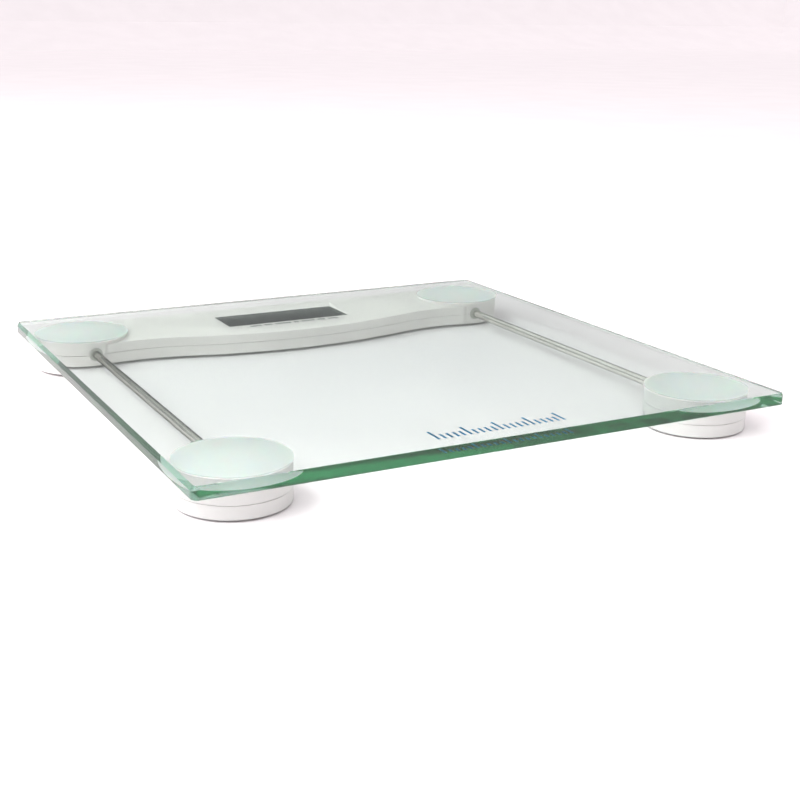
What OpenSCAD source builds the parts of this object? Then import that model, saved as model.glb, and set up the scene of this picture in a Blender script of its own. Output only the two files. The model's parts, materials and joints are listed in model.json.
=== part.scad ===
// Square glass bathroom scale: a clear glass platform bonded to two round front foot
// housings and to one wide rear display bar, whose ends are the two rear foot housings.
// Steel tubes carry the load-cell wires from the front feet to the bar.
// Origin: floor level under the centre of the platform. +Z up, +X right,
// +Y from the plain front edge towards the edge with the display.

/* [Glass platform] */
// Width of the glass, left to right
glass_w = 300; // [300:1:330]
// Depth of the glass, front to rear
glass_d = 300; // [300:1:330]
// Thickness of the glass
glass_t = 6; // [5:0.5:8]
// Radius of the glass corners, seen from above
glass_corner_r = 3; // [2:0.5:12]

/* [Heights above the floor] */
// Top of the foot housings, where the discs start
housing_top_z = 14.2; // [14.1:0.1:14.6]
// Thickness of the pale disc on a foot housing
disc_t = 0.4; // [0.3:0.1:0.6]
// Thickness of the clear bond between a disc and the glass
bond_t = 0.6; // [0.5:0.1:0.8]
// Underside of the front foot covers
front_base_z = 0.7; // [0.6:0.1:1.4]
// Underside of the display bar
rear_base_z = 1.5; // [1.3:0.1:1.6]
// Seam between the two halves of a front foot housing
front_seam_z = 7.1; // [6.9:0.1:7.3]
// Seam between the two halves of the display bar
rear_seam_z = 7.3; // [7.2:0.1:7.5]

/* [Feet] */
// Distance of the foot centres from the middle plane, left and right
foot_x = 121.4; // [120.9:0.1:122]
// Distance of the front foot centres from the middle
front_foot_y = 118; // [117.5:0.5:118.5]
// Distance of the rear foot centres from the middle
rear_foot_y = 116; // [115.5:0.5:116.5]
// Outer radius of a foot housing
foot_r = 24.9; // [24.5:0.1:25.2]
// Radius of a pale disc
disc_r = 25.4; // [25.2:0.1:26]
// Radius of the rubber pad that stands on the floor
pad_r = 12.5; // [11:0.1:12.6]
// How far a foot rises into its housing under load
foot_travel = 0.5; // [0.3:0.1:0.5]

/* [Display bar] */
// Front of the bar at its middle, measured from the middle of the scale
bar_front_y = 80.6; // [79:0.2:83]
// Radius of the bar's bulging middle, seen from above
bar_bulge_r = 250; // [230:5:280]
// Radius of the hollow that blends the bulge into each foot
bar_blend_r = 100; // [80:5:120]
// Height of the bar's top at its rear edge
bar_top_z = 13.8; // [13.5:0.1:14]
// Slope of the bar's top, falling towards the front
bar_tilt = 1.5; // [1:0.1:1.8]

/* [Window] */
// Width of the clear window
window_w = 76; // [70:1:78]
// Front edge of the window
window_front_y = 102; // [101:0.5:103]
// Rear edge of the window
window_rear_y = 129.7; // [128:0.1:130]
// Height of the window's surface
window_z = 12.2; // [12:0.1:12.3]

/* [Tubes] */
// Outer radius of a steel tube
tube_r = 2.1; // [1.9:0.1:2.2]
// Distance of the tubes from the middle plane
tube_x = 120.5; // [119.5:0.5:121.5]
// Height of the tube centres
tube_z = 7.9; // [7.7:0.1:8]
// Radius of the rounded collar around a tube
collar_r = 3.7; // [3.4:0.1:3.9]

/* [Battery and button] */
// Centre of the coin cell, left of the middle plane
battery_x = -76; // [-78:1:-75]
// Distance of the coin cell from the middle, towards the rear
battery_y = 114; // [113:0.5:115]
// How far the unit button travels
button_travel = 0.5; // [0.3:0.1:0.5]

/* [Hidden] */

$fn = 128;
cut = 1;                                   // how far a cutter runs past a face
seam_gap = 0.2;                            // open line between two housing halves
wall = 2;                                  // housing side walls
plate = 1.6;                               // floor of a cover
roof = 2;                                  // top of a housing
lip_gap = 0.15;                            // clearance around a cover's lip
lip_t = 1.1;                               // thickness of a cover's lip
lip_h = 1.2;                               // height of a cover's lip above the seam
edge_r = 0.8;                              // rounding at a cover's lower edge

disc_top_z = housing_top_z + disc_t;
glass_z = disc_top_z + bond_t;
front_left = [-foot_x, -front_foot_y];
front_right = [foot_x, -front_foot_y];
rear_left = [-foot_x, rear_foot_y];
rear_right = [foot_x, rear_foot_y];

// Load cells: a square steel plate whose middle tongue bends under the foot
cell_half = 15;
cell_corner_r = 5;
cell_z = 7;
cell_t = 2.4;
cell_post = 11.5;                          // corner posts, from the foot centre
cell_post_r = 1.8;
tongue_half = 7.5;                         // slots around the bending tongue
tongue_slot = 1.6;
tongue_l = 17;

// Moving feet: pad, retaining flange and stem
pad_t = 1.8;
flange_r = 14;
flange_z = 3.5;
flange_t = 1.4;
stem_r = 4.5;
stem_top_z = cell_z - 0.3 - foot_travel;
foot_hole_r = pad_r + 0.7;

// Screws
screw_r = 1.05;
screw_hole_r = 1.3;
pilot_r = 1.1;
head_r = 2;
head_hole_r = 2.3;
head_t = 1.8;
head_recess = 1.4;                         // depth of a screw head above the underside
column_r = 3;
boss_r = 2.6;
screw_ring = 18.9;                         // foot screws, from the foot centre
screw_top_z = 10;                          // tips of the screws in the bar
pilot_top_z = 10.5;                        // blind ends of their holes
ledge_depth = 2;                           // ledge that carries the seam lip, below the seam
ledge_top = 0.8;
join = 0.1;                                // overlap where two solids of one piece meet
front_screws = [[-1, 0], [1, 0], [0, -1]]; // directions from a front foot centre
foot_screws = [for (s = [-1, 1], d = [[1, 0], [0, 1]])
    [s * (foot_x + screw_ring * d[0]), rear_foot_y + screw_ring * d[1]]];
middle_screws = [for (s = [-1, 1], p = [[56, 134.4], [30, 90]]) [s * p[0], p[1]]];
bar_screws = concat(foot_screws, middle_screws);

// Display stack, from the window down to the board
lens_rim = 2;                              // lens flange hidden under the roof
lens_step_z = window_z - 1;
lens_bottom_z = window_z - 2;
lens_gap = 0.1;                            // clearance around the lens
lcd_t = 1.4;
strip_h = 1.6;
board_t = 1.2;
board_top_z = lens_bottom_z - lcd_t - strip_h;
board_z = board_top_z - board_t;
board_x0 = -50;
board_x1 = 80;
board_y0 = 100;
board_y1 = 130;
board_screw_spots = [for (x = [board_x0 + 4, board_x1 - 4], y = [board_y0 + 3, board_y1 - 3]) [x, y]];
bevel_side = 3.1;                          // bevel widths, up to the height of the foot tops
bevel_rear = 8.5;
bevel_front = 1.5;
chip_spot = [52, 118];                     // parts on the board
quartz_spot = [64, 121];
sensor_spot = [62, 109];

// Battery compartment under the bar
coin_r = 10;
coin_t = 3.2;
coin_z = 4.2;
ring_r = 14.6;
ring_in_r = 10.3;
ring_top_z = coin_z + coin_t;
cap_hole_r = 12.6;
cap_r = 12.3;
cap_top_z = 3.9;
groove_r = 13.7;
lug_turn = 60;                             // turn that frees the cap
lug_l = 1.55;
lug_w = 4;
lug_t = 0.55;
lug_gap = 0.25;                            // clearance above the cover's floor
notch_w = 4.8;                             // notches that let the lugs through
slot_l = 14;
slot_w = 1.8;
slot_depth = 0.9;

// Unit button under the bar
button_x = 66;
button_y = 112;
button_r = 4.5;
button_recess = 0.2;
button_gap = 0.25;                         // clearance around the button
button_rim = 1.1;                          // width of the rim that keeps the button in

// Tubes and their collars
tube_bore_r = 1.6;
tube_in = 5.5;                             // length of tube inside a housing
collar_neck_r = 2.9;
collar_h = 1.2;
collar_in = 3;
fit_gap = 0.05;

// Wires: routes of the right side, and the ends that reach the board on each side
wire_r = 0.9;
front_run = [[120.5, -107, 10.35], [120.5, -102, 10.35], [120.5, -100, 8.6], [120.5, -98, 7.9],
    [120.5, 0, 7.9], [120.5, 97, 7.9], [117.5, 98.6, 7.9], [110, 99.2, 7.9], [104, 100, 7.9],
    [98, 100.4, 7.9]];
rear_run = [[111, 116, 10.35], [107, 116.5, 10.35], [103, 118, 10.2]];
front_left_end = [[-90, 98.4, 7.9], [-76, 96.6, 7.9], [-62, 98, 7.9], [-54, 102.5, 8], [-46, 108.5, 8.12]];
front_right_end = [[90, 104, 7.9], [84, 107, 8.1], [77, 109, 8.12]];
rear_left_end = [[-95, 122, 10], [-75, 127, 9.5], [-60, 124.5, 8.8], [-52, 123, 8.3], [-46, 122.5, 8.12]];
rear_right_end = [[94, 120, 9.4], [84, 121, 8.5], [77, 121, 8.12]];

// Outline of the bar: a bulging middle arc, two hollow blend arcs and the foot circles.
// The blend arc touches both of its neighbours, so its centre follows from the radii.
bulge_c = [0, bar_front_y + bar_bulge_r];
to_foot = rear_right - bulge_c;
reach = norm(to_foot);
far_side = bar_bulge_r + bar_blend_r;
near_side = foot_r + bar_blend_r;
along = (pow(far_side, 2) - pow(near_side, 2) + pow(reach, 2)) / (2 * reach);
across = sqrt(pow(far_side, 2) - pow(along, 2));
dir = to_foot / reach;
blend_c = bulge_c + along * dir + across * [dir[1], -dir[0]];
bulge_half = atan2(blend_c[0], bulge_c[1] - blend_c[1]);
blend_a0 = atan2(bulge_c[1] - blend_c[1], -blend_c[0]);
blend_a1 = atan2(rear_foot_y - blend_c[1], foot_x - blend_c[0]);

touch_gap = 0.8;                           // degrees left open beside a foot circle
touch_back = 1.5;                          // the same along the straight rear edge

function arc(c, r, a0, a1, steps) =
    [for (i = [0:steps]) let (a = a0 + (a1 - a0) * i / steps) c + r * [cos(a), sin(a)]];
function flip_x(pts) = [for (i = [len(pts) - 1:-1:0]) [-pts[i][0], pts[i][1]]];

// Rectangle with round corners, centred on the origin
function rounded_outline(w, d, r, steps) =
    [for (q = [[1, 1, 0], [-1, 1, 90], [-1, -1, 180], [1, -1, 270]])
        each arc([q[0] * (w / 2 - r), q[1] * (d / 2 - r)], r, q[2], q[2] + 90, steps)];

// One unit direction along a route at point i
function heading(p, i) =
    let (d = p[min(i + 1, len(p) - 1)] - p[max(i - 1, 0)]) d / norm(d);
// Ring of points around a route at point i
function ring(p, i, r, n) =
    let (t = heading(p, i), s = cross(t, [0, 0, 1]), u = s / norm(s), v = cross(u, t))
    [for (k = [0:n - 1]) p[i] + r * (cos(360 * k / n) * u + sin(360 * k / n) * v)];

// The bar between the foot circles. It stops just short of the points where it would
// touch the circles, so that every edge crosses a circle cleanly.
module bar_middle(inset) {
    blend = arc(blend_c, bar_blend_r + inset, blend_a0, blend_a1 + touch_gap, 16);
    bulge = arc(bulge_c, bar_bulge_r - inset, -90 - bulge_half, -90 + bulge_half, 24);
    rear_y = rear_foot_y + foot_r - inset;
    rear_x = foot_x - touch_back;
    polygon(concat([rear_left], flip_x(blend), [for (i = [1:len(bulge) - 2]) bulge[i]],
        blend, [rear_right, [rear_x, rear_y], [-rear_x, rear_y]]));
}

module at(spot, z = 0) {
    translate([spot[0], spot[1], z]) children();
}

module post(spot, r, z0, z1) {
    at(spot, z0) cylinder(r = r, h = z1 - z0);
}

module both_rear_feet(r, z0, z1) {
    for (s = [-1, 1]) post([s * foot_x, rear_foot_y], r, z0, z1);
}

// Everything below the sloping top of the bar, lowered by drop
module under_bar_top(drop) {
    translate([0, rear_foot_y + foot_r, bar_top_z - drop]) rotate([bar_tilt, 0, 0])
        translate([-glass_w / 2, -glass_d / 2, -2 * bar_top_z]) cube([glass_w, glass_d, 2 * bar_top_z]);
}

module bar_block(inset, z0, drop) {
    intersection() {
        translate([0, 0, z0]) linear_extrude(housing_top_z - z0) bar_middle(inset);
        under_bar_top(drop);
    }
}

module bar_slab(inset, z0, z1) {
    translate([0, 0, z0]) linear_extrude(z1 - z0) bar_middle(inset);
    both_rear_feet(foot_r - inset, z0, z1);
}

module corner_posts(spot, z0, z1) {
    for (x = [-1, 1], y = [-1, 1])
        post(spot + cell_post * [x, y], cell_post_r, z0, z1);
}

// Round opening for a tube collar in the wall that faces the other feet
module collar_hole(spot) {
    side = sign(spot[0]);
    inward = -sign(spot[1]);
    translate([side * tube_x, spot[1] + inward * foot_r, tube_z]) rotate([90, 0, 0])
        cylinder(r = collar_neck_r + fit_gap, h = 4 * (wall + lip_t), center = true);
}

module screw_column(spot, base_z, top_z) {
    difference() {
        post(spot, column_r, base_z + plate / 2, top_z);
        post(spot, screw_hole_r, base_z, top_z + cut);
        post(spot, head_hole_r, base_z, base_z + head_recess + head_t);
    }
}

module screw_entries(spots, base_z) {
    for (p = spots) post(p, head_hole_r, base_z - cut, base_z + head_recess + head_t);
}

module screw(spot, base_z, top_z) {
    post(spot, head_r, base_z + head_recess, base_z + head_recess + head_t);
    post(spot, screw_r, base_z + head_recess + head_t - join, top_z);
}

function front_screw_spots(spot) = [for (d = front_screws) spot + screw_ring * d];

module glass_platform() color([0.80, 0.93, 0.88, 0.45])
    at([0, 0], glass_z) linear_extrude(glass_t)
        polygon(rounded_outline(glass_w, glass_d, glass_corner_r, 12));

module bonding_disc(spot) color([0.88, 0.93, 0.91])
    post(spot, disc_r, housing_top_z, disc_top_z);

module clear_bond(spot) color([0.90, 0.97, 0.95, 0.35])
    post(spot, disc_r, disc_top_z, glass_z);

module front_housing(spot) color([0.90, 0.90, 0.88])
    difference() {
        union() {
            difference() {
                post(spot, foot_r, front_seam_z + seam_gap / 2, housing_top_z);
                post(spot, foot_r - wall, front_seam_z - cut, housing_top_z - roof);
            }
            corner_posts(spot, cell_z + cell_t, housing_top_z - roof + cut);
            for (p = front_screw_spots(spot))
                post(p, boss_r, front_seam_z + seam_gap / 2, housing_top_z - roof + cut);
        }
        for (p = front_screw_spots(spot)) post(p, pilot_r, front_seam_z - cut, housing_top_z - roof);
        collar_hole(spot);
    }

// Cover wall and floor with a rounded lower edge, as one turned profile
module cover_cup(spot, base_z, seam_z) {
    top_z = seam_z - seam_gap / 2;
    at(spot) rotate_extrude() difference() {
        union() {
            translate([0, base_z + edge_r]) square([foot_r, top_z - base_z - edge_r]);
            translate([0, base_z]) square([foot_r - edge_r, edge_r + join]);
            translate([foot_r - edge_r, base_z + edge_r]) circle(r = edge_r);
        }
        translate([-cut, base_z + plate]) square([foot_r - wall + cut, top_z]);
        translate([-cut, base_z - cut]) square([foot_hole_r + cut, plate + 2 * cut]);
    }
}

module front_cover(spot) color([0.92, 0.92, 0.90])
    difference() {
        union() {
            cover_cup(spot, front_base_z, front_seam_z);
            difference() {
                post(spot, foot_r - wall - lip_gap, front_seam_z - ledge_depth, front_seam_z + lip_h);
                post(spot, foot_r - wall - lip_gap - lip_t, front_seam_z - ledge_depth - cut, front_seam_z + lip_h + cut);
            }
            // The lip stands on a ledge that joins it to the wall
            difference() {
                post(spot, foot_r - wall + join, front_seam_z - ledge_depth, front_seam_z - ledge_top);
                post(spot, foot_r - wall - lip_gap - lip_t, front_seam_z - ledge_depth - cut, front_seam_z);
            }
            corner_posts(spot, front_base_z + plate - join, cell_z);
            for (p = front_screw_spots(spot))
                screw_column(p, front_base_z, front_seam_z - seam_gap / 2);
        }
        screw_entries(front_screw_spots(spot), front_base_z);
        collar_hole(spot);
    }

// Sloping pocket around the window, its floor level with the window's surface
module window_bevel() {
    side = window_w / 2;
    rise = housing_top_z - window_z;
    hull() {
        translate([-side, window_front_y, window_z])
            cube([window_w, window_rear_y - window_front_y, 0.01]);
        translate([-side - bevel_side, window_front_y - bevel_front, window_z + rise])
            cube([window_w + 2 * bevel_side,
                window_rear_y - window_front_y + bevel_front + bevel_rear, 0.01]);
    }
}

module display_housing() color([0.85, 0.86, 0.83])
    difference() {
        union() {
            difference() {
                union() {
                    bar_block(0, rear_seam_z + seam_gap / 2, 0);
                    both_rear_feet(foot_r, rear_seam_z + seam_gap / 2, housing_top_z);
                }
                bar_block(wall, rear_seam_z - cut, roof);
                both_rear_feet(foot_r - wall, rear_seam_z - cut, housing_top_z - roof);
            }
            for (p = [rear_left, rear_right])
                corner_posts(p, cell_z + cell_t, housing_top_z - roof + cut);
            for (p = foot_screws) post(p, boss_r, rear_seam_z + seam_gap / 2, housing_top_z - roof + join);
            for (p = middle_screws) post(p, boss_r, rear_seam_z + seam_gap / 2, bar_top_z - roof);
            for (p = board_screw_spots) post(p, boss_r, board_top_z, bar_top_z - roof);
        }
        for (p = bar_screws) post(p, pilot_r, rear_seam_z - cut, pilot_top_z);
        for (p = board_screw_spots) post(p, pilot_r, board_top_z - cut, pilot_top_z);
        for (p = [rear_left, rear_right]) collar_hole(p);
        window_bevel();
        translate([-window_w / 2, window_front_y, lens_bottom_z])
            cube([window_w, window_rear_y - window_front_y, housing_top_z]);
        translate([-window_w / 2 - lens_rim - lip_gap, window_front_y - lens_rim - lip_gap, lens_bottom_z - cut])
            cube([window_w + 2 * (lens_rim + lip_gap),
                window_rear_y - window_front_y + 2 * (lens_rim + lip_gap), lens_step_z - lens_bottom_z + cut]);
    }

module battery_ring() {
    difference() {
        post([battery_x, battery_y], ring_r, rear_base_z + plate / 2, ring_top_z);
        post([battery_x, battery_y], ring_in_r, rear_base_z, ring_top_z + cut);
        post([battery_x, battery_y], groove_r, rear_base_z, coin_z);
        translate([battery_x + ring_in_r - cut, battery_y - 3, coin_z])
            cube([ring_r, 6, ring_top_z]);
    }
}

module display_housing_cover() color([0.87, 0.88, 0.85])
    difference() {
        union() {
            difference() {
                bar_slab(0, rear_base_z, rear_seam_z - seam_gap / 2);
                bar_slab(wall, rear_base_z + plate, rear_seam_z + cut);
            }
            difference() {
                bar_slab(wall + lip_gap, rear_seam_z - ledge_depth, rear_seam_z + lip_h);
                bar_slab(wall + lip_gap + lip_t, rear_seam_z - ledge_depth - cut, rear_seam_z + lip_h + cut);
            }
            difference() {
                bar_slab(wall - join, rear_seam_z - ledge_depth, rear_seam_z - ledge_top);
                bar_slab(wall + lip_gap + lip_t, rear_seam_z - ledge_depth - cut, rear_seam_z);
            }
            for (p = [rear_left, rear_right]) corner_posts(p, rear_base_z + plate - join, cell_z);
            for (p = bar_screws) screw_column(p, rear_base_z, rear_seam_z - seam_gap / 2);
            battery_ring();
        }
        for (p = [rear_left, rear_right]) {
            post(p, foot_hole_r, rear_base_z - cut, rear_base_z + plate + cut);
            collar_hole(p);
        }
        screw_entries(bar_screws, rear_base_z);
        post([battery_x, battery_y], cap_hole_r, rear_base_z - cut, rear_base_z + plate + cut);
        at([battery_x, battery_y]) rotate([0, 0, lug_turn])
            translate([-groove_r, -notch_w / 2, rear_base_z - cut]) cube([2 * groove_r, notch_w, plate + 2 * cut]);
        post([button_x, button_y], button_r + button_gap, rear_base_z - cut, rear_base_z + plate + cut);
    }

module load_cell(spot) color([0.62, 0.63, 0.65])
    at(spot, cell_z) linear_extrude(cell_t) difference() {
        polygon(rounded_outline(2 * cell_half, 2 * cell_half, cell_corner_r, 8));
        // Slots around the bending tongue
        for (s = [-1, 1]) translate([s * tongue_half, 0]) square([tongue_slot, tongue_l], center = true);
        translate([0, (tongue_l - tongue_slot) / 2])
            square([2 * tongue_half + tongue_slot, tongue_slot], center = true);
    }

module load_foot(spot) color([0.30, 0.31, 0.32])
    at(spot) rotate_extrude() {
        translate([0, pad_t]) square([pad_r - 0.3, flange_z - pad_t + join]);
        translate([0, flange_z]) square([flange_r, flange_t]);
        translate([0, flange_z + flange_t - join]) square([stem_r, stem_top_z - flange_z - flange_t + join]);
    }

module rubber_pad(spot) color([0.86, 0.87, 0.86])
    at(spot) rotate_extrude() difference() {
        polygon([[0, 0], [pad_r - 0.5, 0], [pad_r, 0.5], [pad_r, pad_t], [0, pad_t]]);
        for (r = [4, 7, 10]) translate([r, -cut]) square([0.8, cut + 0.3]);
    }

module tube(side) color([0.72, 0.72, 0.70]) {
    y0 = -front_foot_y + foot_r - tube_in;
    y1 = rear_foot_y - foot_r + tube_in;
    translate([side * tube_x, y1, tube_z]) rotate([90, 0, 0]) difference() {
        cylinder(r = tube_r, h = y1 - y0);
        translate([0, 0, -cut]) cylinder(r = tube_bore_r, h = y1 - y0 + 2 * cut);
    }
}

module collar(spot) {
    outward = sign(spot[1]);
    translate([sign(spot[0]) * tube_x, spot[1] - outward * foot_r, tube_z])
        rotate([outward * 90, 0, 0]) rotate_extrude() difference() {
            union() {
                translate([0, -collar_in]) square([collar_neck_r, collar_in + join]);
                square([collar_r - collar_h / 2, collar_h]);
                translate([collar_r - collar_h / 2, collar_h / 2]) circle(r = collar_h / 2);
            }
            translate([-cut, -collar_in - cut]) square([tube_r + fit_gap + cut, collar_in + collar_h + 2 * cut]);
        }
}

module tube_collars() color([0.70, 0.71, 0.68])
    for (p = [front_left, front_right, rear_left, rear_right]) collar(p);

module window_lens() color([0.35, 0.38, 0.36, 0.6]) {
    side = window_w / 2 - lens_gap;
    depth = window_rear_y - window_front_y - 2 * lens_gap;
    translate([-side, window_front_y + lens_gap, lens_step_z - join])
        cube([2 * side, depth, window_z - lens_step_z + join]);
    translate([-side - lens_rim, window_front_y + lens_gap - lens_rim, lens_bottom_z])
        cube([2 * (side + lens_rim), depth + 2 * lens_rim, lens_step_z - lens_bottom_z]);
}

module lcd_glass() color([0.36, 0.39, 0.36])
    translate([-window_w / 2 + 1, window_front_y + 1, lens_bottom_z - lcd_t])
        cube([window_w - 2, window_rear_y - window_front_y - 2, lcd_t]);

module lcd_connector_strips() color([0.75, 0.60, 0.62])
    for (y = [window_front_y + 2, window_rear_y - 4])
        translate([-window_w / 2 + 4, y, board_top_z]) cube([window_w - 8, 2, strip_h]);

module circuit_board() color([0.15, 0.42, 0.25])
    difference() {
        translate([board_x0, board_y0, board_z]) cube([board_x1 - board_x0, board_y1 - board_y0, board_t]);
        for (p = board_screw_spots) post(p, screw_hole_r, board_z - cut, board_top_z + cut);
    }

// Parts soldered to the top of the board, right of the display
module board_components() color([0.12, 0.12, 0.13]) {
    at(chip_spot, board_top_z) cylinder(r1 = 5, r2 = 3.5, h = 1.3);
    at(quartz_spot, board_top_z) translate([-4, -1.6]) cube([8, 3.2, 2.2]);
    for (i = [0:3]) translate([45 + 4 * i, 106, board_top_z]) cube([2, 1.25, 0.6]);
}

module board_screws() color([0.75, 0.75, 0.76])
    for (p = board_screw_spots) {
        post(p, head_r, board_z - 0.8, board_z);
        post(p, screw_r, board_z - join, screw_top_z);
    }

module tap_sensor() color([0.70, 0.62, 0.35]) {
    post(sensor_spot, 2.4, board_top_z, board_top_z + 1);
    post(sensor_spot, 2, board_top_z + 0.9, board_top_z + 3);
}

module unit_switch() color([0.15, 0.15, 0.16]) {
    translate([button_x - 2.25, button_y - 2.25, board_z - 1]) cube([4.5, 4.5, 1]);
    post([button_x, button_y], 1.2, board_z - 1.25, board_z - 0.9);
}

module unit_button() color([0.55, 0.56, 0.56]) {
    top_z = board_z - 1.25 - 0.35 - button_travel;
    post([button_x, button_y], button_r, rear_base_z + button_recess, rear_base_z + plate + 0.4);
    post([button_x, button_y], button_r + button_rim, rear_base_z + plate + 0.3, top_z);
}

module coin_cell() color([0.78, 0.79, 0.80]) {
    post([battery_x, battery_y], coin_r - 0.8, coin_z, coin_z + 0.5);
    post([battery_x, battery_y], coin_r, coin_z + 0.4, coin_z + coin_t);
}

module battery_contact_top() color([0.80, 0.78, 0.70]) {
    x1 = board_x0 + 3;
    z = ring_top_z;
    translate([battery_x - 4, battery_y - 2.5, z]) cube([x1 - battery_x + 4, 5, 0.3]);
    translate([x1 - 0.4, battery_y - 2.5, board_top_z]) cube([0.4, 5, z - board_top_z + join]);
}

module battery_contact_side() color([0.80, 0.78, 0.70]) {
    x0 = battery_x + coin_r;
    z = board_top_z - 0.5;
    translate([x0 + 0.02, battery_y - 2, coin_z + 0.6]) cube([0.3, 4, z - coin_z - 0.3]);
    translate([x0 + 0.02, battery_y - 2, board_z - 0.3]) cube([board_x0 + 2 - x0, 4, 0.3]);
}

module battery_cap() color([0.80, 0.81, 0.79])
    difference() {
        union() {
            post([battery_x, battery_y], cap_r, rear_base_z, cap_top_z);
            for (turn = [0, 180]) at([battery_x, battery_y]) rotate([0, 0, turn])
                translate([cap_r - 0.5, -lug_w / 2, rear_base_z + plate + lug_gap]) cube([lug_l, lug_w, lug_t]);
        }
        translate([battery_x - slot_l / 2, battery_y - slot_w / 2, rear_base_z - cut])
            cube([slot_l, slot_w, cut + slot_depth]);
    }

module front_housing_screws() color([0.70, 0.70, 0.72])
    for (p = concat(front_screw_spots(front_left), front_screw_spots(front_right)))
        screw(p, front_base_z, housing_top_z - roof - 1);

module display_housing_screws() color([0.70, 0.70, 0.72])
    for (p = bar_screws) screw(p, rear_base_z, screw_top_z);

// Run of one side, then the end that is given for that side
function route(side, run, end) = concat([for (p = run) [side * p[0], p[1], p[2]]], end);

// Wire bundle swept along its route
module wires(path) {
    sides = 8;
    last = len(path) - 1;
    pts = [for (i = [0:last]) each ring(path, i, wire_r, sides)];
    skin = [for (i = [0:last - 1], k = [0:sides - 1]) let (m = (k + 1) % sides)
        [i * sides + k, i * sides + m, (i + 1) * sides + m, (i + 1) * sides + k]];
    start = [for (k = [sides - 1:-1:0]) k];
    end = [for (k = [0:sides - 1]) last * sides + k];
    color([0.75, 0.18, 0.15]) polyhedron(pts, concat([start, end], skin));
}

glass_platform();
bonding_disc(front_left);  // bonding_disc_front_left
bonding_disc(front_right);  // bonding_disc_front_right
bonding_disc(rear_left);  // bonding_disc_rear_left
bonding_disc(rear_right);  // bonding_disc_rear_right
clear_bond(front_left);  // clear_bond_front_left
clear_bond(front_right);  // clear_bond_front_right
clear_bond(rear_left);  // clear_bond_rear_left
clear_bond(rear_right);  // clear_bond_rear_right
front_housing(front_left);  // front_left_housing
front_housing(front_right);  // front_right_housing
front_cover(front_left);  // front_left_cover
front_cover(front_right);  // front_right_cover
display_housing();
display_housing_cover();
load_cell(front_left);  // load_cell_front_left
load_cell(front_right);  // load_cell_front_right
load_cell(rear_left);  // load_cell_rear_left
load_cell(rear_right);  // load_cell_rear_right
load_foot(front_left);  // load_foot_front_left
load_foot(front_right);  // load_foot_front_right
load_foot(rear_left);  // load_foot_rear_left
load_foot(rear_right);  // load_foot_rear_right
rubber_pad(front_left);  // rubber_pad_front_left
rubber_pad(front_right);  // rubber_pad_front_right
rubber_pad(rear_left);  // rubber_pad_rear_left
rubber_pad(rear_right);  // rubber_pad_rear_right
tube(-1);  // tube_left
tube(1);  // tube_right
tube_collars();
window_lens();
lcd_glass();
lcd_connector_strips();
circuit_board();
board_components();
board_screws();
tap_sensor();
unit_switch();
unit_button();
coin_cell();
battery_contact_top();
battery_contact_side();
battery_cap();
front_housing_screws();
display_housing_screws();
wires(route(-1, front_run, front_left_end));  // wires_front_left
wires(route(1, front_run, front_right_end));  // wires_front_right
wires(route(-1, rear_run, rear_left_end));  // wires_rear_left
wires(route(1, rear_run, rear_right_end));  // wires_rear_right
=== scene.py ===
"""Square glass bathroom scale, seen from the front left corner on a pale floor.

The CAD frame gives every place and size. The glass with its clear bonds, the four pale
discs, the bar, the tick marks and the printed row are built here. The other CAD nodes
stay and only get materials.
"""
import json
import math

import bmesh
import bpy
from mathutils import Matrix, Vector


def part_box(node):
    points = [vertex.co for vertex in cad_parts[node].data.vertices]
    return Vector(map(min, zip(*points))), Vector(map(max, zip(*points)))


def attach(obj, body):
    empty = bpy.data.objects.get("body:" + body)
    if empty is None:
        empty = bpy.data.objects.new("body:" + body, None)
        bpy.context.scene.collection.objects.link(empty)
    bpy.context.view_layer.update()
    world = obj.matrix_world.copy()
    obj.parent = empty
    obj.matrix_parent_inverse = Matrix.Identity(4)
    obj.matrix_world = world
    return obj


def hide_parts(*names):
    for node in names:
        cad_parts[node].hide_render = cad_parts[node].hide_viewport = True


MM = 0.001
FEET = ("front_left", "front_right", "rear_left", "rear_right")
ROOT = "scale"                             # body that everything fixed rides on
SHARP = math.radians(32)                   # angle between two faces from which their edge stays sharp
MERGE = 0.002 * MM                         # distance at which two vertices count as one

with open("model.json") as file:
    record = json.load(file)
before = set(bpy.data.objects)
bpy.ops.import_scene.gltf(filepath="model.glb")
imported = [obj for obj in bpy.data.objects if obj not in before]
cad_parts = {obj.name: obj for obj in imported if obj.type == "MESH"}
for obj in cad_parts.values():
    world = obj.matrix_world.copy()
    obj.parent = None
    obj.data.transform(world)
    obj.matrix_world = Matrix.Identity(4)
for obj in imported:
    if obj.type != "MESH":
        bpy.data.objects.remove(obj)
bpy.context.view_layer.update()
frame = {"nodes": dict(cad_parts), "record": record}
nodes = frame["nodes"]
mats = {}


# ---------------------------------------------------------------- material helpers

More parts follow.
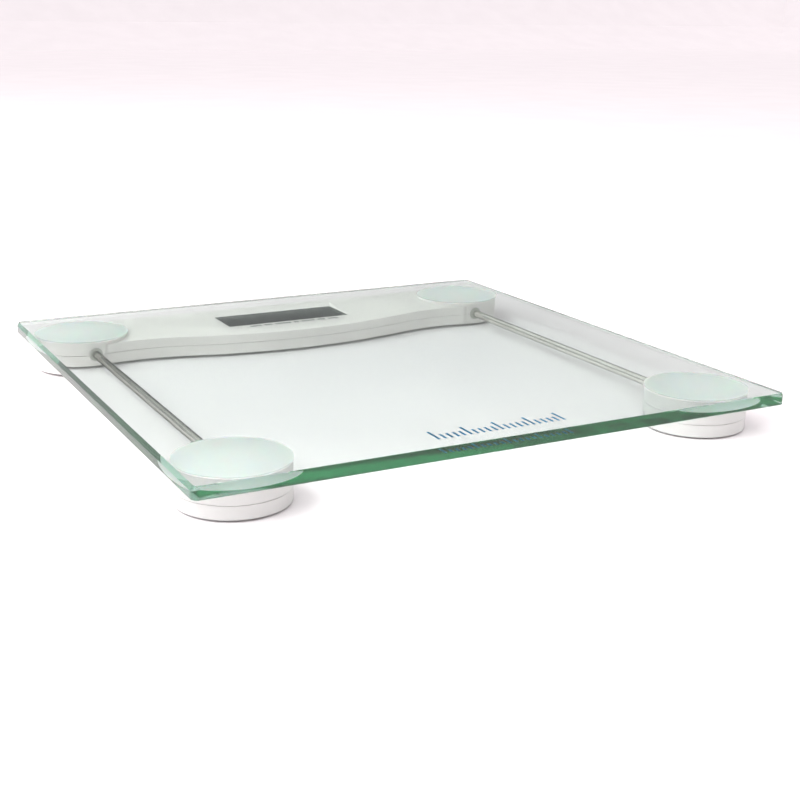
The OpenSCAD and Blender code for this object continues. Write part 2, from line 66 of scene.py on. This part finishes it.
class Shader:
    """A node material under construction, with short calls for its nodes."""

    def __init__(self, name):
        self.material = bpy.data.materials.new(name)
        self.material.use_nodes = True
        self.tree = self.material.node_tree
        self.bsdf = self.tree.nodes["Principled BSDF"]
        self.output = self.tree.nodes["Material Output"]
        mats[name] = self.material

    def node(self, kind, **values):
        """New node, with values for its inputs or its settings."""
        made = self.tree.nodes.new(kind)
        for key, value in values.items():
            if key in made.inputs:
                made.inputs[key].default_value = value
            else:
                setattr(made, key, value)
        return made

    def link(self, a, b):
        self.tree.links.new(a, b)

    def set(self, **values):
        """Sets inputs of the surface, with _ for a space in their names."""
        for key, value in values.items():
            self.bsdf.inputs[key.replace("_", " ")].default_value = value

    def coords(self, scale=(1, 1, 1)):
        """Object coordinates in metres, times scale."""
        place = self.node("ShaderNodeTexCoord")
        mapping = self.node("ShaderNodeMapping")
        mapping.inputs["Scale"].default_value = scale
        self.link(place.outputs["Object"], mapping.inputs["Vector"])
        return mapping.outputs["Vector"]

    def noise(self, scale, detail=3.0, stretch=(1, 1, 1)):
        """Smooth noise from 0 to 1, with about scale blotches to a metre."""
        made = self.node("ShaderNodeTexNoise", Scale=scale, Detail=detail)
        self.link(self.coords(stretch), made.inputs["Vector"])
        return made.outputs["Fac"]

    def ramp(self, factor, low, high, start=0.35, end=0.65):
        """Colour that runs from low to high as factor goes from start to end."""
        made = self.node("ShaderNodeValToRGB")
        made.color_ramp.elements[0].position = start
        made.color_ramp.elements[1].position = end
        made.color_ramp.elements[0].color = (*low, 1)
        made.color_ramp.elements[1].color = (*high, 1)
        self.link(factor, made.inputs["Fac"])
        return made.outputs["Color"]

    def spread(self, factor, low, high):
        """Number that runs from low to high as factor goes from 0 to 1."""
        made = self.node("ShaderNodeMapRange")
        made.inputs["To Min"].default_value = low
        made.inputs["To Max"].default_value = high
        self.link(factor, made.inputs["Value"])
        return made.outputs["Result"]

    def bump(self, height, distance, strength=0.5):
        """Fine relief of the surface, distance metres deep where height goes from 0 to 1."""
        made = self.node("ShaderNodeBump", Strength=strength, Distance=distance)
        self.link(height, made.inputs["Height"])
        self.link(made.outputs["Normal"], self.bsdf.inputs["Normal"])


def tint(colour, factor):
    """The colour made lighter or darker by factor, up to white."""
    return tuple(min(1.0, c * factor) for c in colour)


def linear(r, g, b):
    """Linear colour of an sRGB colour given as 0 to 255."""
    def channel(v):
        v /= 255
        return v / 12.92 if v <= 0.04045 else ((v + 0.055) / 1.055) ** 2.4
    return (channel(r), channel(g), channel(b))


def moulded(name, colour, roughness=0.42, grain=1500, depth=0.02 * MM, variation=0.03, uneven=0.08):
    """Moulded plastic: fine spark-eroded grain and a faint unevenness of colour."""
    s = Shader(name)
    patch = s.noise(scale=28, detail=4)
    s.link(s.ramp(patch, tint(colour, 1 - variation), tint(colour, 1 + variation)),
           s.bsdf.inputs["Base Color"])
    fine = s.noise(grain, detail=2)
    s.link(s.spread(fine, roughness - uneven, roughness + uneven), s.bsdf.inputs["Roughness"])
    s.bump(fine, depth)
    return s


def metal(name, colour, roughness, stretch=(1, 1, 1), uneven=0.05):
    """Metal with fine drawn streaks along the axis whose stretch is small."""
    s = Shader(name)
    streaks = s.noise(2500, 3, stretch)
    s.link(s.ramp(streaks, tint(colour, 0.86), tint(colour, 1.1)), s.bsdf.inputs["Base Color"])
    s.link(s.spread(streaks, roughness - uneven, roughness + uneven), s.bsdf.inputs["Roughness"])
    s.bump(streaks, distance=0.01 * MM, strength=0.12)
    s.set(Metallic=1.0)
    return s


def clear(name, colour, ior, absorption=None, density=0.0, smear=0.012):
    """Clear solid with faint smudges. Its colour comes from absorption along the path."""
    s = Shader(name)
    s.set(Transmission_Weight=1.0, IOR=ior)
    smudge = s.noise(scale=60, detail=5)
    s.link(s.ramp(smudge, tint(colour, 0.995), colour), s.bsdf.inputs["Base Color"])
    s.link(s.spread(smudge, 0.0, smear), s.bsdf.inputs["Roughness"])
    if absorption:
        volume = s.node("ShaderNodeVolumeAbsorption", Density=density)
        volume.inputs["Color"].default_value = (*absorption, 1)
        s.link(volume.outputs["Volume"], s.output.inputs["Volume"])
    return s


# ---------------------------------------------------------------- materials

GLASS_IOR = 1.52
GLASS_TINT = (0.44, 0.762, 0.616)          # colour that the glass lets through
GLASS_DENSITY = 22.5                       # how strongly it absorbs the rest, per metre
WINDOW_IOR = 1.12                          # low, so that the small window mirrors little
DARK_GRAZING = (0.11, 0.11, 0.11, 1)       # tint of the steel's reflection at grazing angles
PANEL_LIGHT_RATE = 7                             # how fast the painted light on the display panel grows to the right, per metre
PANEL_LIGHT_CLOUDS = 0.3                         # share of noise in that painted light
PANEL_LIGHT_RANGE = (-0.15, 0.4)                 # where that painted light starts and ends


def make_glass():
    clear("platform glass", (1, 1, 1), GLASS_IOR, GLASS_TINT, GLASS_DENSITY)


def make_edges():
    """The rim: the same glass, polished on its sides and satin on its upper bevel."""
    rims = (("polished edge", (0.90, 1.0, 0.97), 0.05, 0.11, 0.99),
            ("satin bevel", (0.45, 0.78, 0.62), 0.10, 0.20, 0.94))
    for name, colour, low, high, through in rims:
        s = clear(name, colour, GLASS_IOR, GLASS_TINT, GLASS_DENSITY)
        s.link(s.spread(s.noise(scale=900), low, high), s.bsdf.inputs["Roughness"])
        s.set(Transmission_Weight=through)


def make_disc():
    """Pale soft plastic that lets a little light into its surface."""
    s = moulded("pale disc", (0.97, 0.905, 0.93), 0.55, grain=1100, depth=0.01 * MM, variation=0.012)
    s.set(Subsurface_Weight=0.25, Subsurface_Scale=MM)


def make_plastics():
    """Plastics, rubbers, the board and the inks: colour, roughness, grain, its depth and variation."""
    moulded("housing plastic", (0.774, 0.753, 0.730), 0.30, depth=0.01 * MM)
    # Darker copy of the housing plastic for the front feet: painted shade
    moulded("foot plastic in painted shade", (0.585, 0.59, 0.575), 0.42)
    moulded("collar plastic", linear(170, 171, 164), 0.36)
    moulded("black plastic", linear(42, 43, 45), 0.45, 900, 0.04 * MM, 0.15)
    moulded("grey plastic", linear(140, 142, 142), 0.42)
    moulded("white rubber", linear(214, 216, 214), 0.72, 1900, 0.05 * MM, 0.05)
    moulded("pink elastomer", linear(205, 160, 165), 0.65, 1300, 0.04 * MM, 0.08)
    moulded("wire insulation", linear(176, 40, 34), 0.38, 700, 0.01 * MM, 0.06)
    moulded("board green", linear(28, 92, 54), 0.30, 600, 0.01 * MM, 0.10)
    moulded("ink blue", linear(0, 122, 172), 0.35, 1500, 0.002 * MM, 0.04)
    moulded("ink grey", linear(30, 34, 40), 0.45, 1500, 0.002 * MM, 0.06)


def make_metals():
    """Steel drawn along Y for the tubes, plated steel and brass."""
    drawn = metal("drawn steel", linear(249, 247, 239), 0.07, stretch=(1, 0.02, 1))
    drawn.set(Specular_Tint=DARK_GRAZING)
    metal("plated steel", linear(190, 190, 190), 0.30)
    metal("brass can", linear(206, 180, 110), 0.30)


def make_window():
    """Smoked clear window, and the switched-off panel under it, with painted light that makes it
    lighter to the right.
    """
    clear("smoked window", linear(150, 160, 150), WINDOW_IOR)
    s = Shader("display panel")
    split = s.node("ShaderNodeSeparateXYZ")
    s.link(s.coords((PANEL_LIGHT_RATE, PANEL_LIGHT_RATE, PANEL_LIGHT_RATE)), split.inputs[0])
    painted_light = s.node("ShaderNodeMath", operation="MULTIPLY_ADD")
    s.link(s.noise(scale=45), painted_light.inputs[0])
    painted_light.inputs[1].default_value = PANEL_LIGHT_CLOUDS
    s.link(split.outputs["X"], painted_light.inputs[2])
    # Painted light: the panel's colour runs from dark at the left to lighter at the right
    s.link(s.ramp(painted_light.outputs["Value"], linear(8, 12, 8), linear(46, 52, 44), *PANEL_LIGHT_RANGE),
           s.bsdf.inputs["Base Color"])
    s.link(s.spread(s.noise(scale=800, detail=2), 0.35, 0.5), s.bsdf.inputs["Roughness"])
    s.set(Specular_IOR_Level=0.05)


def make_floor():
    """Matt pale floor with a faint unevenness."""
    s = Shader("floor")
    s.link(s.ramp(s.noise(scale=9), (0.730, 0.712, 0.722), (0.750, 0.732, 0.742)),
           s.bsdf.inputs["Base Color"])
    s.set(Roughness=0.85, Specular_IOR_Level=0.1)


# ---------------------------------------------------------------- mesh helpers

FLAT = 0.999                               # upward part of a normal that counts as a flat face
FACET = 0.05                               # change of that part at which a new facet starts


def arc(centre, radius, start, end, steps):
    """Points along an arc, angles in degrees."""
    turn = [math.radians(start + (end - start) * i / steps) for i in range(steps + 1)]
    return [Vector((centre[0] + radius * math.cos(a), centre[1] + radius * math.sin(a))) for a in turn]


def rings_to_mesh(bm, rings, closed_ends=True):
    """Skins a stack of equal rings of 3-D points and, where closed_ends says so, caps both ends."""
    made = [[bm.verts.new(p) for p in ring] for ring in rings]
    count = len(made[0])
    for low, high in zip(made, made[1:]):
        for i in range(count):
            j = (i + 1) % count
            bm.faces.new((low[i], low[j], high[j], high[i]))
    if closed_ends:
        bm.faces.new(reversed(made[0]))
        bm.faces.new(made[-1])
    return made


def turned(bm, centre, profile, steps=160):
    """Solid turned about the vertical through centre. profile is (radius, height) pairs, bottom up."""
    rings = []
    for radius, height in profile:
        rings.append([Vector((p.x, p.y, height)) for p in arc(centre, radius, 0, 360, steps)[:-1]])
    return rings_to_mesh(bm, rings)


def rounded_profile(radius, low, high, edge, steps=4):
    """Outline of a disc with both rims rounded by edge."""
    quarter = [math.radians(90 * i / steps) for i in range(steps + 1)]
    lower = [(radius - edge + edge * math.sin(a), low + edge - edge * math.cos(a)) for a in quarter]
    upper = [(radius - edge + edge * math.cos(a), high - edge + edge * math.sin(a)) for a in quarter]
    return lower + upper


def link_object(name, data):
    """New object in the scene."""
    made = bpy.data.objects.new(name, data)
    bpy.context.scene.collection.objects.link(made)
    return made


def to_mesh(name, bm, materials):
    """New mesh from a bmesh, which is freed."""
    mesh = bpy.data.meshes.new(name)
    bm.to_mesh(mesh)
    bm.free()
    for material in materials:
        mesh.materials.append(material)
    return mesh


def shade(mesh):
    """Smooth shading with sharp edges."""
    mesh.shade_smooth()
    mesh.set_sharp_from_angle(angle=SHARP)


def finish_piece(name, bm, materials, replaces=()):
    """Turns a bmesh into a named piece that rides on the scale's fixed body."""
    bm.normal_update()
    mesh = to_mesh(name, bm, [mats[material] for material in materials])
    shade(mesh)
    piece = link_object(name, mesh)
    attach(piece, ROOT)
    if replaces:
        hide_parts(*replaces)
    return piece


def crease_flat_faces(mesh):
    """Sharp edges wherever two facets of unlike slope meet, so that each shades as a flat face."""
    bm = bmesh.new()
    bm.from_mesh(mesh)
    for edge in bm.edges:
        slopes = [face.normal.z for face in edge.link_faces]
        if max(slopes) - min(slopes) > FACET:
            edge.smooth = False
    bm.to_mesh(mesh)
    bm.free()


def middle(node):
    """Centre of a node's box."""
    low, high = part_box(node)
    return (low + high) / 2


# ---------------------------------------------------------------- the glass

SIDE_BEVEL = (1.2 * MM, 2.2 * MM)          # upper bevel of the left and right edges, inwards and down
END_BEVEL = (0.3 * MM, 0.4 * MM)           # the same along the front and rear edges
ARRIS = 0.3 * MM                           # small chamfer along the lower edge
CORNER_STEPS = 16                          # facets round each corner of the glass
SINK = 0.01 * MM                           # how far printed and bonded faces sit inside the glass
DISC_EDGE = 0.12 * MM                      # rounding of a disc's two rims


def corner_radius(node):
    """Corner radius of a square plate, from how far its outline reaches along the diagonal."""
    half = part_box(node)[1].x
    reach = max(v.co.x + v.co.y for v in nodes[node].data.vertices)
    return (2 * half - reach) / (2 - math.sqrt(2))


def bevel_at(normal):
    """Size of the upper bevel where the rim faces along normal, inwards and down."""
    share = normal.x ** 2
    return [share * side + (1 - share) * end for side, end in zip(SIDE_BEVEL, END_BEVEL)]


def rim_rings(half, radius, low, high):
    """Rings of the slab, bottom up: chamfer, vertical face and upper bevel."""
    rings = [[], [], [], []]
    for sx, sy, start in ((1, 1, 0), (-1, 1, 90), (-1, -1, 180), (1, -1, 270)):
        centre = Vector((sx * (half - radius), sy * (half - radius), 0))
        for turn in arc((0, 0), 1, start, start + 90, CORNER_STEPS):
            normal = turn.to_3d()
            inwards, down = bevel_at(normal)
            heights = ((ARRIS, low), (0, low + ARRIS), (0, high - down), (inwards, high))
            for ring, (inset, z) in zip(rings, heights):
                ring.append(centre + (radius - inset) * normal + Vector((0, 0, z)))
    return rings


def build_glass():
    """Slab with a bevelled rim and, fused below it, the four clear bonds."""
    low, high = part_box("glass_platform")
    half = high.x
    radius = corner_radius("glass_platform")
    bm = bmesh.new()
    rings_to_mesh(bm, rim_rings(half, radius, low.z, high.z))
    bm.normal_update()
    for face in bm.faces:
        if FACET < face.normal.z < FLAT and abs(face.normal.x) > abs(face.normal.y):
            face.material_index = 2
        elif abs(face.normal.z) < FLAT:
            face.material_index = 1
    glass = finish_piece("glass_slab", bm, ("platform glass", "polished edge", "satin bevel"),
                         replaces=["glass_platform"] + ["clear_bond_" + f for f in FEET])
    for foot in FEET:
        add_bond(glass, foot)
    crease_flat_faces(glass.data)


def add_bond(glass, foot):
    """Fuses one clear bond to the underside of the glass, from a solid that reaches into it."""
    node = "clear_bond_" + foot
    low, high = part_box(node)
    radius = (high.x - low.x) / 2
    bm = bmesh.new()
    turned(bm, middle(node), ((radius, low.z), (radius, high.z + MM)))
    fuse(glass, bm)


def fuse(target, bm):
    """Fuses a bmesh solid with a piece and keeps the result as its mesh."""
    bm.normal_update()
    mesh = to_mesh("addition", bm, target.data.materials)
    addition = link_object("addition", mesh)
    modifier = target.modifiers.new("fuse", "BOOLEAN")
    modifier.object = addition
    modifier.operation = "UNION"
    modifier.solver = "EXACT"
    bpy.context.view_layer.update()
    graph = bpy.context.evaluated_depsgraph_get()
    result = bpy.data.meshes.new_from_object(target.evaluated_get(graph))
    target.modifiers.remove(modifier)
    old = target.data
    target.data = result
    bpy.data.meshes.remove(old)
    bpy.data.objects.remove(addition)
    bpy.data.meshes.remove(mesh)
    shade(result)


def build_discs():
    """The four pale discs that show through the glass."""
    for foot in FEET:
        node = "bonding_disc_" + foot
        low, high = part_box(node)
        bm = bmesh.new()
        turned(bm, middle(node),
               rounded_profile((high.x - low.x) / 2, low.z, high.z + SINK, DISC_EDGE))
        finish_piece("disc_" + foot, bm, ("pale disc",), replaces=[node])


# ---------------------------------------------------------------- the bar

EDGE_R = 0.6 * MM                          # rounding of the bar's edges
EDGE_SEGMENTS = 4                          # facets across that rounding
EDGE_ANGLE = math.radians(30)              # angle between two faces from which their edge is rounded
COPLANAR = math.radians(0.4)               # angle up to which two faces count as one
BAR_STEP = 0.4 * MM                        # from the tops of the feet down to the bar's rear edge
BAR_TILT = math.radians(1.5)               # slope of the bar's top, falling to the front
TOP_EDGES_OVER = 11 * MM                   # height over which an edge counts as one of the bar's top
LEVEL = 0.01 * MM                          # how far off a height still counts as at it
SCREW_REACH = 3 * MM                       # from a screw's axis to beyond its opening
# From a piece's axis to beyond its opening
OPENING_REACH = {
    "load_foot_rear_left": 16 * MM,
    "load_foot_rear_right": 16 * MM,
    "battery_cap": 15 * MM,
    "unit_button": 6 * MM,
}


def rounded_copy(node, width, keep):
    """Copy of a CAD node whose edges that pass keep(edge) are rounded by width."""
    bm = bmesh.new()
    bm.from_mesh(nodes[node].data)
    bmesh.ops.remove_doubles(bm, verts=bm.verts, dist=MERGE)
    bmesh.ops.dissolve_limit(bm, angle_limit=COPLANAR, verts=bm.verts, edges=bm.edges)
    bm.normal_update()
    chosen = [e for e in bm.edges if len(e.link_faces) == 2
              and e.calc_face_angle_signed(0) > EDGE_ANGLE and keep(e)]
    bmesh.ops.bevel(bm, geom=chosen, offset=width, segments=EDGE_SEGMENTS, profile=0.5,
                    affect="EDGES", clamp_overlap=True)
    return bm


def build_bar():
    """Both shells of the bar, with rounded outer edges above and below."""
    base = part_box("display_housing_cover")[0].z
    openings = bottom_openings()

    def outer_top(edge):
        return min(v.co.z for v in edge.verts) > TOP_EDGES_OVER

    def outer_base(edge):
        return max(v.co.z for v in edge.verts) < base + LEVEL and not near_opening(edge, openings)

    for name, node, keep in (("bar_upper_shell", "display_housing", outer_top),
                             ("bar_lower_shell", "display_housing_cover", outer_base)):
        bm = rounded_copy(node, EDGE_R, keep)
        shell = finish_piece(name, bm, ("housing plastic",),
                             replaces=[node])
        crease_flat_faces(shell.data)


def near_opening(edge, openings):
    """True for an edge on the rim of one of the openings."""
    spot = (edge.verts[0].co + edge.verts[1].co) / 2
    return any((spot - centre).xy.length < reach for centre, reach in openings)


def bottom_openings():
    """Axis and reach of every opening under the bar: for feet, cap, button and screws."""
    openings = [(middle(node), reach) for node, reach in OPENING_REACH.items()]
    bm = bmesh.new()
    bm.from_mesh(nodes["display_housing_screws"].data)
    bmesh.ops.remove_doubles(bm, verts=bm.verts, dist=MERGE)
    for island in islands(bm):
        centre = sum((v.co for v in island), Vector()) / len(island)
        openings.append((centre, SCREW_REACH))
    bm.free()
    return openings


def islands(bm):
    """Lists the vertices of each separate solid."""
    left = set(bm.verts)
    found = []
    while left:
        island = [left.pop()]
        for vert in island:                # the list grows while it is walked
            for edge in vert.link_edges:
                other = edge.other_vert(vert)
                if other in left:
                    left.discard(other)
                    island.append(other)
        found.append(island)
    return found


# ---------------------------------------------------------------- printed marks

TICK_COUNT = 21
LONG_TICK_EVERY = 5                        # one tick in so many is a long one
TICK_PITCH = 3.25 * MM
TICK_W = 1.3 * MM
TICK_L = 6 * MM
LONG_TICK_L = 11 * MM
TICKS_FROM_FRONT = 14 * MM                 # from the glass's front edge
TICKS_ASIDE = -2.0 * MM                    # shift of the row from the middle, to the left

DASH_GROUPS = (4, 3, 6, 2, 5, 3, 4)        # how many dashes each group has
DASH_PITCH = 1.7 * MM
DASH_W = 1.1 * MM
DASH_HALF_L = 1.4 * MM
DASH_ROOT = 0.2 * MM                       # how deep a dash reaches into the bar
DASH_RAISED = 0.05 * MM                    # how far it stands out of it
DASHES_START = -27 * MM                    # left end of the row
DASHES_FROM_WINDOW = 2.0 * MM              # from the window's front edge


def box_into(bm, low, high):
    """Adds a box between two corners."""
    made = bmesh.ops.create_cube(bm, size=1)["verts"]
    size = high - low
    for vert in made:
        vert.co = Vector((vert.co[k] * size[k] for k in range(3))) + (low + high) / 2


def build_ticks():
    """Generic row of graduated ticks printed on the underside of the glass near its front edge."""
    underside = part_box("glass_platform")[0]
    start_y = underside.y + TICKS_FROM_FRONT
    bm = bmesh.new()
    for i in range(TICK_COUNT):
        x = (i - (TICK_COUNT - 1) / 2) * TICK_PITCH + TICKS_ASIDE
        length = TICK_L
        if i % LONG_TICK_EVERY == 0:
            length = LONG_TICK_L
        box_into(bm, Vector((x, start_y, underside.z - SINK)),
                 Vector((x + TICK_W, start_y + length, underside.z + SINK)))
    finish_piece("printed_ticks", bm, ("ink blue",))


def build_small_marks():
    """Row of small plain dashes printed on the bar in front of the window."""
    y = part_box("window_lens")[0].y - DASHES_FROM_WINDOW
    surface = bar_surface(y)
    bm = bmesh.new()
    x = DASHES_START
    for dashes in DASH_GROUPS:
        for _ in range(dashes):
            box_into(bm, Vector((x, y - DASH_HALF_L, surface - DASH_ROOT)),
                     Vector((x + DASH_W, y + DASH_HALF_L, surface + DASH_RAISED)))
            x += DASH_PITCH
        x += DASH_PITCH
    finish_piece("printed_dashes", bm, ("ink grey",))


def bar_surface(y):
    """Height of the bar's sloping top at a depth y."""
    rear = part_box("display_housing")[1]
    return rear.z - BAR_STEP - (rear.y - y) * math.tan(BAR_TILT)


# ---------------------------------------------------------------- materials on CAD nodes

# Material for each slot of the record
LOOKS = {
    "housing_plastic": "housing plastic",
    "brushed_steel": "drawn steel",
    "collar_plastic": "collar plastic",
    "window_plastic": "smoked window",
    "lcd": "display panel",
    "elastomer": "pink elastomer",
    "board_green": "board green",
    "black_plastic": "black plastic",
    "steel": "plated steel",
    "brass": "brass can",
    "grey_plastic": "grey plastic",
    "rubber": "white rubber",
    "wire_insulation": "wire insulation",
}


def dress_nodes():
    """Gives each CAD node that stays the procedural material of its slot; the front feet's housing gets
    a darker copy of the housing plastic, as painted shade.
    """
    for part in frame["record"]["subparts"]:
        look = LOOKS.get(part["material_slot"])
        name = part["node"]
        # The front feet's housing plastic is painted darker than the bar's: painted shade
        if name.startswith("front_") and part["material_slot"] == "housing_plastic":
            look = "foot plastic in painted shade"
        if look:
            for holder in nodes[name].material_slots:
                holder.material = mats[look]


# ---------------------------------------------------------------- floor, light, camera

SQUARE = ((-1, -1), (1, -1), (1, 1), (-1, 1))
FLOOR_RINGS = ((6.0, 0.60), (5.8, 0.38), (5.4, 0.11), (5.0, 0.0))    # half width and height, metres

LOW_LIGHT = (0.145, 0.146, 0.149, 1)       # colour of the surround near the horizon
FULL_LIGHT = (1, 0.935, 0.955, 1)          # its colour high up
LOW_LIGHT_SINE = 0.31                      # sine of the height up to which it has the first
FULL_LIGHT_SINE = 0.48                     # sine of the height from which it has the second
SURROUND_STRENGTH = 1.38
GLOW_FROM = (-0.80, -0.60, 0.0)            # the bright side of the surround, left and in front
GLOW_START = 0.05                          # how far a direction points there where the glow starts
GLOW_FULL = 0.60                           # and where it is full
GLOW_RISE = 0.42                           # how much lower the light comes there, as a sine

KEY_PLACE = (-1.3, 0.3, 1.3)
KEY_SIZE = 1.5                             # metres
KEY_POWER = 46                             # watts
LONG_PATH = 60                             # bounces a ray may need to run through the glass

CAMERA_PLACE = (-0.30214, -0.60025, 0.19737)
CAMERA_AZIMUTH = math.radians(-28.172)     # from straight in front, negative to the left
CAMERA_ELEVATION = math.radians(16.670)
CAMERA_ROLL = math.radians(0.853)
CAMERA_LENS = 59.30                        # millimetres
CAMERA_SENSOR = 36                         # millimetres
CAMERA_NEAR = 0.01                         # metres
CAMERA_FAR = 500                           # metres


def build_floor():
    """Wide pale floor whose far edges rise a little, so that no horizon shows."""
    rings = [[Vector((sx * half, sy * half, height)) for sx, sy in SQUARE]
             for half, height in FLOOR_RINGS]
    bm = bmesh.new()
    made = rings_to_mesh(bm, rings, closed_ends=False)
    bm.faces.new(made[-1])
    link_object("floor", to_mesh("floor", bm, [mats["floor"]]))


def light_world():
    """Studio surround: broad soft light overhead that comes down low at the front left."""
    world = bpy.data.worlds.new("studio")
    bpy.context.scene.world = world
    world.use_nodes = True
    tree = world.node_tree
    direction = tree.nodes.new("ShaderNodeTexCoord").outputs["Generated"]
    split = tree.nodes.new("ShaderNodeSeparateXYZ")
    total = tree.nodes.new("ShaderNodeMath")
    tree.links.new(direction, split.inputs[0])
    tree.links.new(split.outputs["Z"], total.inputs[0])
    tree.links.new(side_glow(tree, direction), total.inputs[1])
    background = tree.nodes["Background"]
    tree.links.new(surround_colour(tree, total.outputs["Value"]), background.inputs["Color"])
    background.inputs["Strength"].default_value = SURROUND_STRENGTH


def side_glow(tree, direction):
    """How much is added to a direction's sine of height, on the bright side."""
    side = tree.nodes.new("ShaderNodeVectorMath")
    side.operation = "DOT_PRODUCT"
    side.inputs[1].default_value = GLOW_FROM
    glow = tree.nodes.new("ShaderNodeMapRange")
    glow.inputs["From Min"].default_value = GLOW_START
    glow.inputs["From Max"].default_value = GLOW_FULL
    glow.inputs["To Max"].default_value = GLOW_RISE
    tree.links.new(direction, side.inputs[0])
    tree.links.new(side.outputs["Value"], glow.inputs["Value"])
    return glow.outputs["Result"]


def surround_colour(tree, height):
    """Colour of the surround at a height given as a sine."""
    ramp = tree.nodes.new("ShaderNodeValToRGB")
    low, high = ramp.color_ramp.elements
    low.position = LOW_LIGHT_SINE
    low.color = LOW_LIGHT
    high.position = FULL_LIGHT_SINE
    high.color = FULL_LIGHT
    tree.links.new(height, ramp.inputs["Fac"])
    return ramp.outputs["Color"]


def let_light_through():
    """Light runs the length of the glass in many internal reflections."""
    settings = bpy.context.scene.cycles
    settings.max_bounces = LONG_PATH
    settings.transmission_bounces = LONG_PATH
    settings.glossy_bounces = LONG_PATH
    settings.blur_glossy = 0.0


def make_key_light():
    """Soft square light over the left side, aimed at the origin."""
    data = bpy.data.lights.new("key", "AREA")
    data.shape = "SQUARE"
    data.size = KEY_SIZE
    data.energy = KEY_POWER
    lamp = link_object("key", data)
    lamp.location = KEY_PLACE
    lamp.rotation_mode = "QUATERNION"
    lamp.rotation_quaternion = (-Vector(KEY_PLACE)).to_track_quat("-Z", "Y")


def make_camera():
    """Camera in front of the left front corner, a little above the platform."""
    level = math.cos(CAMERA_ELEVATION)
    back = Vector((math.sin(CAMERA_AZIMUTH) * level, -math.cos(CAMERA_AZIMUTH) * level,
                   math.sin(CAMERA_ELEVATION)))
    right = (-back).cross(Vector((0, 0, 1))).normalized()
    up = right.cross(-back)
    x_axis = math.cos(CAMERA_ROLL) * right + math.sin(CAMERA_ROLL) * up
    y_axis = -math.sin(CAMERA_ROLL) * right + math.cos(CAMERA_ROLL) * up
    turn = Matrix((x_axis, y_axis, back)).transposed().to_4x4()
    data = bpy.data.cameras.new("camera")
    data.sensor_width = CAMERA_SENSOR
    data.lens = CAMERA_LENS
    data.clip_start = CAMERA_NEAR
    data.clip_end = CAMERA_FAR
    camera = link_object("camera", data)
    camera.matrix_world = Matrix.Translation(CAMERA_PLACE) @ turn
    bpy.context.scene.camera = camera


def build_all():
    """Camera, materials, pieces, floor and light, in that order."""
    make_camera()
    for make in (make_glass, make_edges, make_disc, make_plastics, make_metals, make_window,
                 make_floor):
        make()
    dress_nodes()
    build_glass()
    build_discs()
    build_bar()
    build_ticks()
    build_small_marks()
    build_floor()
    light_world()
    make_key_light()
    let_light_through()
    bpy.context.scene.view_settings.view_transform = "Standard"


build_all()
